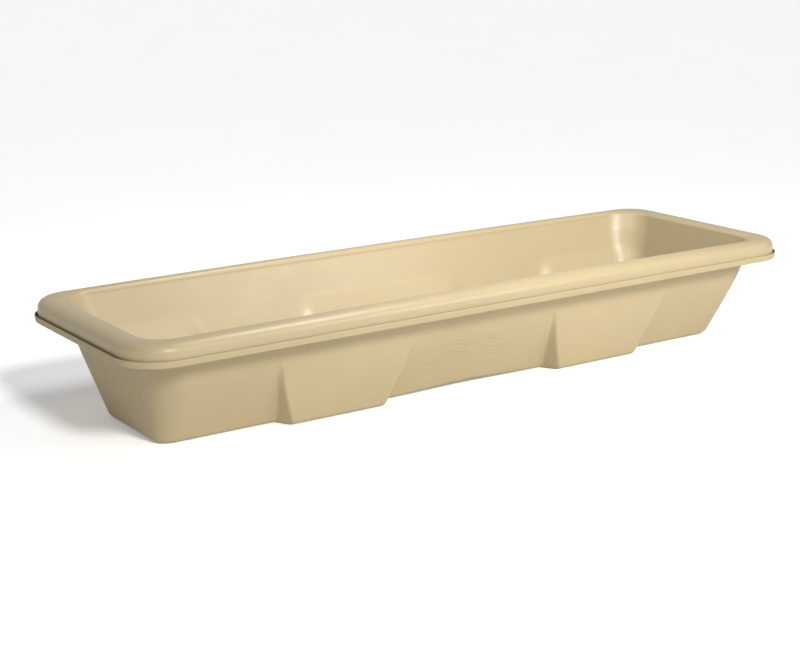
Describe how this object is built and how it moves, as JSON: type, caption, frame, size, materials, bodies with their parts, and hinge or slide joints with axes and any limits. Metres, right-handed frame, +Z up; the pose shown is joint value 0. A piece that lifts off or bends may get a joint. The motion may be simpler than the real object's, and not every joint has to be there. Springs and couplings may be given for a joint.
{
  "type": "livestock water trough",
  "caption": "Long shallow double-skinned water trough with a hooded rim, tapered walls and foot panels that stand flat on the ground.",
  "frame": {"origin": "centre of the trough's footprint, on the ground under its flat underside", "axes": "+X along the trough's length, +Y across it, +Z up out of its open mouth"},
  "size_m": [2, 0.66, 0.292],
  "materials": {
    "case": "matte",
    "liner": "gloss",
    "foam": "matte",
    "bead": "matte"
  },
  "bodies": {
    "root": {"outer_shell": "case", "inner_shell": "liner", "foam_core": "foam", "rim_bead": "bead"}
  },
  "joints": []
}
